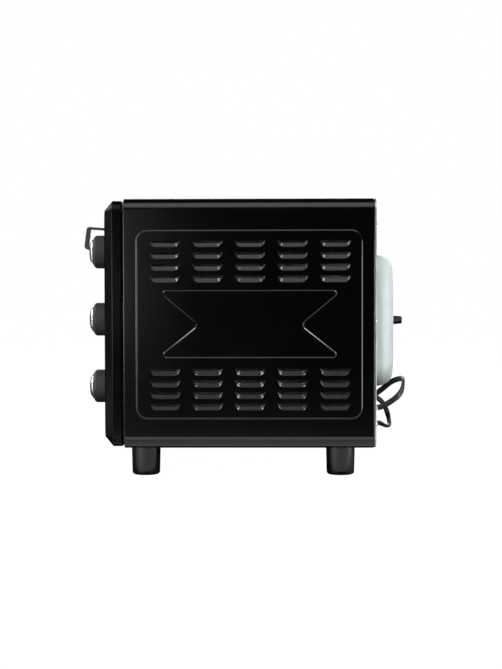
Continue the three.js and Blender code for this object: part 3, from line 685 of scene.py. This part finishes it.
def side_wall(shape, side):
    """The flat stretch of one side wall, with everything that is pressed into it."""
    def place(a, b, height):
        return (side * (CASE_HALF + height), a, b)

    pad = rounded_box(PAD["y0"], PAD["y1"], PAD["z0"], PAD["z1"], PAD["corner"], 12)
    pad_rows = step_rows(pad, PAD_EDGE, 0.0, PAD["rise"])
    shape.grid([[place(*p) for p in row] for row in pad_rows], closed=True)
    z0, z1 = CASE_LOW[2] + CASE_BEND, CASE_HIGH[2] - CASE_BEND
    y0, y1 = CASE_LOW[1] + CASE_ROLL, CASE_HIGH[1] - CASE_ROLL
    flat_fill(shape, [(y0, z0), (y1, z0), (y1, z1), (y0, z1)], [[p[:2] for p in pad_rows[0]]], 0.0, place)
    bow = filleted(BOW, [3.5, 6.0, 3.5, 3.5, 6.0, 3.5], 8)
    bow_rows = step_rows(bow, BOW_EDGE, PAD["rise"], PAD["rise"] - BOW_DEPTH)
    shape.grid([[place(*p) for p in row] for row in bow_rows], closed=True)
    flat_fill(shape, [p[:2] for p in bow_rows[-1]], [], PAD["rise"] - BOW_DEPTH, place)
    holes = [[p[:2] for p in bow_rows[0]]]
    for block in LOUVRE_TOPS:
        for row in range(LOUVRE["rows"]):
            for column in range(LOUVRE["columns"]):
                y, top = LOUVRE["first"] + column * LOUVRE["pitch"], block - row * LOUVRE["drop"]
                holes.append(louvre_hole(y, top))
                hood = louvre_rows(y, top, PAD["rise"])
                shape.grid([[place(*p) for p in line] for line in hood])
    flat_fill(shape, [p[:2] for p in pad_rows[-1]], holes, PAD["rise"], place)


def casing_outline():
    """The casing's outline in (x, z) with its outward normals, from one lower edge round to the other."""
    half, low, high, bend = CASE_HALF, CASE_LOW[2], CASE_HIGH[2], CASE_BEND
    line = [(half - CASE_FLANGE, low, 0, -1), (half - CASE_FLANGE / 2 - 4, low, 0, -1)]
    for cx, cz, start in ((half - bend, low + bend, -90), (half - bend, high - bend, 0)):
        for angle in np.radians(np.linspace(start, start + 90, 13)):
            c, s = math.cos(angle), math.sin(angle)
            line.append((cx + bend * c, cz + bend * s, c, s))
    line.append((half / 2, high, 0, 1))
    return line + [(-x, z, -nx, nz) for x, z, nx, nz in reversed(line)]


def thickened(piece, thickness=SHEET):
    """Gives a sheet its thickness, inwards."""
    sheet = piece.modifiers.new("sheet", "SOLIDIFY")
    sheet.thickness = thickness * MM
    sheet.offset = -1.0


def outer_casing():
    """The wrap: bent sheet with rolled ends, closed by the two pressed side walls."""
    shape = Shape()
    outline = casing_outline()
    roll = CASE_ROLL
    # Stations along Y and how far the rolled edge sinks at each.
    front = [(CASE_LOW[1] + roll * (1 - math.sin(t)), roll * (1 - math.cos(t)))
             for t in np.linspace(math.pi / 2, 0, 6)]
    rear = [(CASE_HIGH[1] - (y - CASE_LOW[1]), inset) for y, inset in reversed(front)]
    rows = [[(x - nx * inset, y, z - nz * inset) for x, z, nx, nz in outline] for y, inset in front + rear]
    n = len(outline)
    # The side walls' flat stretch is left open here: side_wall fills it.
    flat = [i for i in range(n - 1) if abs(outline[i][2]) > 0.999 and abs(outline[i + 1][2]) > 0.999]
    middle = len(front) - 1
    faces = [(r * n + i, (r + 1) * n + i, (r + 1) * n + i + 1, r * n + i + 1) for r in range(len(rows) - 1)
             for i in range(n - 1) if not (r == middle and i in flat)]
    shape.add([p for row in rows for p in row], faces)
    for side in (1, -1):
        side_wall(shape, side)
    thickened(shape.piece("outer_casing_shell", "oven", FINISHES["casing_paint"], "casing_paint",
                          ["outer_casing"], sharp=math.radians(50)))


outer_casing()

# ---- Frame, door and panel ----
refined("front_frame", "oven", FINISHES["frame_plastic"], 1.0, 4, weld=0.4, clamp=False)
refined("control_panel", "oven", FINISHES["panel_plastic"])
refined("door_frame", "door", FINISHES["casing_paint"], 0.6)
refined("back_panel", "oven", FINISHES["sheet_steel"])
refined("crumb_tray", "tray", FINISHES["tray_aluminium"], 0.4, 2)
refined("cavity_front_flange", "oven", FINISHES["cavity_steel"], 0.25, 2)
for node in ("thermostat", "function_selector", "timer", "terminal_block"):
    refined(node, "oven", FINISHES["control_body"], 0.8)


def door_handle():
    """Two end brackets, each a lug, an arm and a plate, with a slim bar between their lower ends."""
    low, high = cad("door_handle")
    door = cad("door_frame")[0][1]
    section = [(door - 0.3, 292), (door - 3.1, 292), (door - 3.1, 304.4), (-208.4, 307.2), (-210.6, 287),
               (-208.2, 285), (-208.4, 280.2), (-213.6, 281), (-216.3, 283.6), (-216.4, 286), (-213.4, 308),
               (-212.2, 310), (-208.5, 310.4), (door - 0.3, 307.2)]
    radii = [0, 0.5, 1.2, 0.9, 0.6, 0.5, 0.6, 1.6, 1.6, 1.4, 1.4, 1.2, 1.4, 0]
    bracket = list(reversed(filleted(section, radii, 4)))
    lower = [(-209.2, 286), *section[5:10]]
    grip = list(reversed(filleted(lower, [0.8, 0.8, 0.7, 1.6, 1.6, 0.9], 4)))

    def place(p, x):
        return (x, p[0], p[1])

    shape = Shape()
    for x0, x1 in ((low[0], low[0] + BRACKET_WIDTH), (high[0] - BRACKET_WIDTH, high[0])):
        extruded(shape, bracket, place, x0, x1, 0.45)
    extruded(shape, grip, place, low[0] + 1, high[0] - 1, 0.3)
    shape.piece("door_handle_bar", "door", FINISHES["handle_metal"], "handle_metal", ["door_handle"],
                sharp=math.radians(35))


door_handle()


# ---- Knobs ----
def knob(kind, z):
    """A knob's cap, its chrome ring and its pointer mark; heights are from the knob's foot."""
    base = cad(f"{kind}_knob")[1][1]
    body = f"{kind}_control"
    side = [(3.6, 0.1), (19.9, 0), (KNOB_RADIUS, 0.9), (KNOB_RADIUS, 20.6), (19.2, 23.0), (16.1, 24.6)]
    groove = [(15.9, 23.0), (13.1, 23.0)]
    radii = [0, 0.5, 0.6, 2.2, 2.4, 0.5, 0.3, 0.2, 0.6, 0.9, 4.0, 0]
    profile = filleted(side + groove + KNOB_DOME, radii, 5, closed=False)
    turned(f"{kind}_knob_cap", body, profile, (KNOB_X, base, z), (0, -1, 0), FINISHES["knob_plastic"],
           "knob_plastic", [f"{kind}_knob"], segments=KNOB_SEGMENTS)
    section = [(13.4, 23.3), (15.6, 23.3), (15.8, 24.7), (14.8, 26.3), (13.4, 26.3)]
    section = filleted(section, [0.2, 0.3, 0.8, 0.8, 0.4], 5)
    ring = Shape()
    ring.grid([[(KNOB_X + r * math.sin(a), base - d, z + r * math.cos(a)) for a in circle(KNOB_SEGMENTS)]
               for r, d in section + section[:1]], closed=True)
    ring.piece(f"{kind}_knob_trim", body, FINISHES["chrome_trim"], "chrome_trim", [f"{kind}_knob_ring"],
               sharp=math.radians(60))

    def on_dome(p, height):
        face = np.interp(p[1], *zip(*reversed(KNOB_DOME)))
        return (KNOB_X + p[0], base - height - face, z + p[1])

    mark = Shape()
    extruded(mark, rounded_box(-0.7, 0.7, 3.2, 11.6, 0.65, 5), on_dome, -0.6, 0.12, 0.1)
    mark.piece(f"{kind}_knob_mark", body, PRINT_WHITE)


for kind, height in zip(("temperature", "function", "timer"), KNOB_HEIGHTS):
    knob(kind, height)


def dial_ticks():
    """Plain raised ticks round each knob, longer at the ends of its scale."""
    front = cad("control_panel")[0][1]
    half = 0.35
    box_faces = [(0, 1, 2, 3), (7, 6, 5, 4), (0, 4, 5, 1), (1, 5, 6, 2), (2, 6, 7, 3), (3, 7, 4, 0)]
    shape = Shape()
    for z, sweep, count in zip(KNOB_HEIGHTS, KNOB_SWEEPS, (11, 7, 13)):
        for k in range(count):
            angle = math.radians(90 + k * sweep / (count - 1))
            c, s = math.cos(angle), math.sin(angle)
            near, far = (25.0, 29.5) if k in (0, count - 1) else (25.5, 28.2)
            loop = [(-half, near), (half, near), (half, far), (-half, far)]
            points = [(KNOB_X - (r * c - a * s), z + a * c + r * s) for a, r in loop]
            shape.add([(x, y, up) for y in (front - 0.12, front + 0.1) for x, up in points], box_faces)
    shape.piece("dial_ticks", "oven", PRINT_WHITE)


dial_ticks()
lens_low, lens_high = cad("indicator_lens")
lens_profile = [(3.7, 0), (3.7, 6.9), (3.3, 8.1), (2.0, 8.9), (0.05, 9.2)]
turned("indicator_lens_cap", "oven", filleted(lens_profile, [0, 0.4, 0.8, 1.5, 0], 4, closed=False),
       ((lens_low[0] + lens_high[0]) / 2, lens_high[1], (lens_low[2] + lens_high[2]) / 2), (0, -1, 0),
       FINISHES["lens_red"], "lens_red", ["indicator_lens"], segments=40)


# ---- Feet ----
def foot(name):
    low, high = cad(f"foot_{name}")
    centre = ((low[0] + high[0]) / 2, (low[1] + high[1]) / 2, 0.0)
    underside = [(0.05, 1.6), (5.2, 1.6), (5.6, 0.0), (15.0, 0.0)]
    wall = [(17.0, 1.9), (17.7, 32.6), (17.7, high[2]), (0.05, high[2])]
    profile = filleted(underside + wall, [0, 0.3, 0.4, 1.0, 1.4, 2.0, 0.3, 0], 5, closed=False)
    turned(f"foot_{name}_moulding", "oven", profile, centre, (0, 0, 1), FINISHES["foot_plastic"],
           "foot_plastic", [f"foot_{name}"], segments=72)


for name in ("front_right", "front_left", "rear_right", "rear_left"):
    foot(name)


# ---- Rear cover, its spacer stud and the screws ----
def convection_cover():
    """The pale dome over the fan motor, with its vent slots."""
    low, high = cad("convection_cover")
    half = (high[0] - low[0]) / 2
    base, face = low[1], high[1]
    # Half width lost, and the distance from the base in hundredths of the depth.
    shoulder = [(0.0, 0), (0.0, 25), (0.3, 47), (1.3, 62), (3.6, 76), (6.6, 87), (10.0, 94), (14.5, 98.5),
                (20.0, 100)]
    fine, _ = smooth_line([(a, b, 0) for a, b in shoulder], 3.0)
    rows = []
    for lost, share, _ in fine:
        size = half - lost
        corner = COVER_CORNER * size / half
        loop = rounded_box(AXIS_X - size, AXIS_X + size, AXIS_Z - size, AXIS_Z + size, corner, 10)
        rows.append([(x, base + (face - base) * share / 100, z) for x, z in loop])
    shape = Shape()
    shape.grid(rows, closed=True)
    middles = [(AXIS_X + across, AXIS_Z + up) for up in (-44, -34, 34, 44) for across in (-30, 30)]
    slots = [rounded_box(x - 20, x + 20, z - 2, z + 2, 1.99, 6) for x, z in middles]
    flat_fill(shape, [(p[0], p[2]) for p in rows[-1]], slots, 0.0, lambda a, b, h: (a, face, b))
    thickened(shape.piece("convection_cover_shell", "oven", FINISHES["cover_paint"], "cover_paint",
                          ["convection_cover"], sharp=math.radians(50)))


convection_cover()
spacer_low, spacer_high = cad("wall_spacer")
stud = spacer_high[1] - spacer_low[1]
turned("wall_spacer_stud", "oven",
       filleted([(0.05, 0), (8.2, 0), (8.2, 2.2), (6.6, 3.0), (5.4, stud - 1.2), (4.6, stud), (0.05, stud)],
                [0, 0.3, 0.7, 0.6, 0.9, 0.6, 0], 4, closed=False),
       (AXIS_X, spacer_low[1], AXIS_Z), (0, 1, 0), FINISHES["foot_plastic"], "foot_plastic", ["wall_spacer"],
       segments=48)


def cross_screws(name, places, y, finish, radius=3.4):
    """Pan-head screws with cross recesses, whose heads point along +Y."""
    spokes = [(math.cos(a), math.sin(a)) for a in circle(32)]
    arm, slot = radius * 0.5, radius * 0.11
    cross = []
    for c, s in spokes:
        reach = min(arm, slot / max(min(abs(c), abs(s)), 1e-6))
        cross.append((reach * c, reach * s))
    # Share of the radius, and height, of the head's dome.
    dome = [(1, 0.0), (1, 0.5), (0.96, 0.95), (0.85, 1.4), (0.66, 1.75), (0.58, 1.85)]
    shape = Shape()
    for x, z in places:
        rows = [[(x + radius * share * c, y + height, z + radius * share * s) for c, s in spokes]
                for share, height in dome]
        rows.append([(x + a, y + 1.84, z + b) for a, b in cross])
        rows.append([(x + a * 0.8, y + 0.9, z + b * 0.8) for a, b in cross])
        shape.grid(rows, closed=True)
        shape.cap(rows[-1], flip=True)
        shape.cap(rows[0])
    shape.piece(name, "oven", finish, "sheet_steel", sharp=math.radians(30))


back_face = cad("back_panel")[1][1]
side_places = [(s * 238, z) for s in (1, -1) for z in (64, 189, 304)]
edge_places = [(x, z) for x in (-110, 110) for z in (47, 325)]
cross_screws("back_screws", side_places + edge_places, back_face - 0.1, SCREW_STEEL)


# ---- Inside: elements, fan guard, rack ----
def element(name):
    """A heating rod whose ends are slimmer."""
    low, high = cad(name)
    y, z = (low[1] + high[1]) / 2, (low[2] + high[2]) / 2
    long, end = high[0] - low[0], 22.0
    near = [(0.05, 0), (3.4, 0), (3.4, end), (4.0, end + 1.5)]
    far = [(r, long - d) for r, d in reversed(near)]
    profile = filleted(near + far, [0, 0.5, 0.5, 0.5, 0.5, 0.5, 0.5, 0], 3, closed=False)
    turned(f"{name}_rod", "oven", profile, (low[0], y, z), (1, 0, 0), FINISHES["element_steel"],
           "element_steel", [name], segments=24)


for row in ("upper", "lower"):
    for place in ("front", "rear"):
        element(f"heating_element_{row}_{place}")


def wire(shape, start, end, radius, sides=14):
    """A round wire with rounded ends."""
    a, b = np.array(start, float), np.array(end, float)
    long = np.linalg.norm(b - a)
    axis = (b - a) / long
    side = np.array([0, 0, 1.0])
    up = np.cross(axis, side)
    spokes = [math.cos(t) * side + math.sin(t) * up for t in circle(sides)]
    near = [(0, 0.35), (0.25, 0.75), (0.9, 1.0)]
    far = [(long - d, r) for d, r in reversed(near)]
    rows = [[a + axis * d + radius * r * spoke for spoke in spokes] for d, r in near + far]
    shape.grid(rows, closed=True)
    shape.cap(rows[0])
    shape.cap(rows[-1], flip=True)


def wire_rack():
    """A bent rim wire, one cross wire and fifteen thinner ones."""
    low, high = cad("wire_rack")
    z = (low[2] + high[2]) / 2
    shape = Shape()
    rim = 2.0
    x0, x1, y0, y1 = low[0] + rim, high[0] - rim, low[1] + rim, high[1] - rim
    rim_line = np.array(rounded_box(x0, x1, y0, y1, 9.0, 8))
    rows = []
    for before, (x, y), after in zip(np.roll(rim_line, 1, 0), rim_line, np.roll(rim_line, -1, 0)):
        tx, ty = (after - before) / np.linalg.norm(after - before)
        rows.append([(x + rim * math.cos(a) * ty, y - rim * math.cos(a) * tx, z + rim * math.sin(a))
                     for a in circle(14)])
    shape.grid(rows + rows[:1], closed=True)
    wire(shape, (x0, (y0 + y1) / 2, z - 0.3), (x1, (y0 + y1) / 2, z - 0.3), 1.7)
    for x in np.linspace(x0, x1, 17)[1:-1]:
        wire(shape, (x, y0 + 0.4, z + 0.5), (x, y1 - 0.4, z + 0.5), 1.4, 12)
    shape.piece("wire_rack_grid", "rack", FINISHES["rack_chrome"], "rack_chrome", ["wire_rack"],
                sharp=math.radians(60))


wire_rack()


def fan_guard():
    """A shallow cup over the fan, with a ring of radial slots."""
    low, high = cad("fan_guard")
    radius, front, rear = (high[0] - low[0]) / 2, low[1], high[1]
    # Distance along Y, and how far the rim has turned in.
    rim = [(rear - 0.1, 0), (front + 2, 0), (front + 1.2, 0.15), (front + 0.5, 0.6),
           (front + 0.1, 1.3), (front, 2)]
    rows = [[(AXIS_X + (radius - turned_in) * math.cos(a), y, AXIS_Z + (radius - turned_in) * math.sin(a))
             for a in circle(96)] for y, turned_in in rim]
    shape = Shape()
    shape.grid(rows, closed=True)
    slots = []
    for k in range(12):
        turn = math.radians(30 * k + 15)
        c, s = math.cos(turn), math.sin(turn)
        loop = rounded_box(24, 60, -3, 3, 2.99, 6)
        slots.append([(AXIS_X + a * c - b * s, AXIS_Z + a * s + b * c) for a, b in loop])
    flat_fill(shape, [(p[0], p[2]) for p in rows[-1]], slots, 0.0, lambda a, b, h: (a, front, b))
    thickened(shape.piece("fan_guard_grille", "oven", FINISHES["cavity_steel"], "cavity_steel",
                          ["fan_guard"], sharp=math.radians(50)), 0.7)


fan_guard()


# ---- Room: pale floor, white surround for the camera and soft boxes ----
def make_floor():
    """A floor that the camera sees as white, and that reflects little light onto the oven."""
    size = 30.0
    mesh = bpy.data.meshes.new("floor")
    corners = [(-size, -size, 0), (size, -size, 0), (size, size, 0), (-size, size, 0)]
    mesh.from_pydata(corners, [], [(0, 1, 2, 3)])
    floor = bpy.data.objects.new("floor", mesh)
    bpy.context.scene.collection.objects.link(floor)
    made = bpy.data.materials.new("floor")
    nodes = Nodes(made)
    b = nodes.bsdf
    b.inputs["Base Color"].default_value = (0.04, 0.04, 0.04, 1)
    b.inputs["Roughness"].default_value = 0.9
    b.inputs["Specular IOR Level"].default_value = 0.0
    b.inputs["Emission Color"].default_value = (1, 1, 1, 1)
    seen = nodes.tree.nodes.new("ShaderNodeLightPath").outputs["Is Camera Ray"]
    nodes.set(b.inputs["Emission Strength"], seen)
    mesh.materials.append(made)


def make_world():
    """White for the camera and nearly black for everything else."""
    world = bpy.data.worlds.new("studio")
    bpy.context.scene.world = world
    world.use_nodes = True
    tree = world.node_tree
    tree.nodes.clear()
    path = tree.nodes.new("ShaderNodeLightPath")
    dim, white = tree.nodes.new("ShaderNodeBackground"), tree.nodes.new("ShaderNodeBackground")
    dim.inputs["Color"].default_value = (0.9, 0.95, 1.0, 1)
    dim.inputs["Strength"].default_value = 0.015
    white.inputs["Color"].default_value = (1, 1, 1, 1)
    white.inputs["Strength"].default_value = 1.0
    mix = tree.nodes.new("ShaderNodeMixShader")
    out = tree.nodes.new("ShaderNodeOutputWorld")
    tree.links.new(path.outputs["Is Camera Ray"], mix.inputs["Fac"])
    tree.links.new(dim.outputs[0], mix.inputs[1])
    tree.links.new(white.outputs[0], mix.inputs[2])
    tree.links.new(mix.outputs[0], out.inputs["Surface"])


def softbox(name, centre, aim, width, height, radiance, diffuse=True, glossy=True, spread=180):
    """A rectangular light, in metres, of a given brightness, that the camera doesn't see."""
    data = bpy.data.lights.new(name, "AREA")
    data.shape = "RECTANGLE"
    data.size, data.size_y = width, height
    data.energy = radiance * width * height * math.pi
    data.spread = math.radians(spread)
    light = bpy.data.objects.new(name, data)
    light.location = centre
    light.rotation_mode = "QUATERNION"
    light.rotation_quaternion = (Vector(aim) - Vector(centre)).to_track_quat("-Z", "Y")
    light.visible_camera = False
    light.visible_diffuse = diffuse
    light.visible_glossy = glossy
    bpy.context.scene.collection.objects.link(light)


make_floor()
make_world()
middle = (0.0, 0.0, 0.19)
softbox("overhead", (1.35, 0.0, 1.55), (1.35, 0.0, 0.0), 1.6, 2.2, 1.75)
softbox("left_front", (1.75, -0.85, 0.29), (0.25, -0.1, 0.25), 0.95, 0.38, 2.4)
softbox("left_strip", (1.0, -0.85, 0.25), (0.25, -0.15, 0.22), 0.28, 0.42, 13.0, diffuse=False)
softbox("left_side", (0.55, -1.25, 0.75), (0.2, 0.0, 0.3), 1.4, 1.4, 0.9, diffuse=False)
softbox("right_side", (0.22, 1.3, 0.40), (0.22, 0.0, 0.40), 0.55, 0.8, 9.0, glossy=False)
softbox("right_strip", (0.26, 0.45, 0.16), (0.26, 0.0, 0.16), 0.28, 0.30, 7.0, diffuse=False)
softbox("floor_near", (0.265, 0.0, 0.004), (0.265, 0.0, 1.0), 0.07, 0.8, 0.8, diffuse=False)
softbox("floor_front", (0.38, 0.0, 0.004), (0.38, 0.0, 1.0), 0.14, 0.8, 1.5, diffuse=False)
softbox("low_right", (0.33, 0.06, 0.012), (0.25, -0.08, 0.165), 0.13, 0.14, 1.3, diffuse=False, spread=50)
softbox("low_left", (0.33, -0.05, 0.012), (0.25, 0.09, 0.165), 0.13, 0.14, 1.3, diffuse=False, spread=50)
softbox("backdrop", (-1.7, 0.1, 0.45), (0.0, 0.0, 0.3), 2.6, 0.6, 1.0, diffuse=False)
softbox("front_high", (-0.3, -2.1, 1.5), middle, 2.4, 1.2, 3.2)
softbox("floor_corner", (0.85, -0.9, 0.004), (0.85, -0.9, 1.0), 1.1, 1.0, 1.3, diffuse=False)
softbox("floor_door", (0.0, -0.95, 0.004), (0.0, -0.95, 1.0), 1.5, 1.0, 0.45)
softbox("floor_left", (-0.9, 0.0, 0.004), (-0.9, 0.0, 1.0), 1.0, 1.4, 0.6)
softbox("left_low", (-2.2, 0.2, 0.9), middle, 2.0, 1.4, 2.2)
softbox("back_high", (-0.5, 2.0, 1.5), middle, 2.4, 1.2, 1.5)
softbox("rear_fill", (0.9, 1.3, 0.9), (0.0, 0.17, 0.2), 0.8, 0.8, 7.0, glossy=False)

view = bpy.context.scene.view_settings
view.view_transform = "Standard"
view.look = "None"
view.exposure = 0.0
view.gamma = 1.0
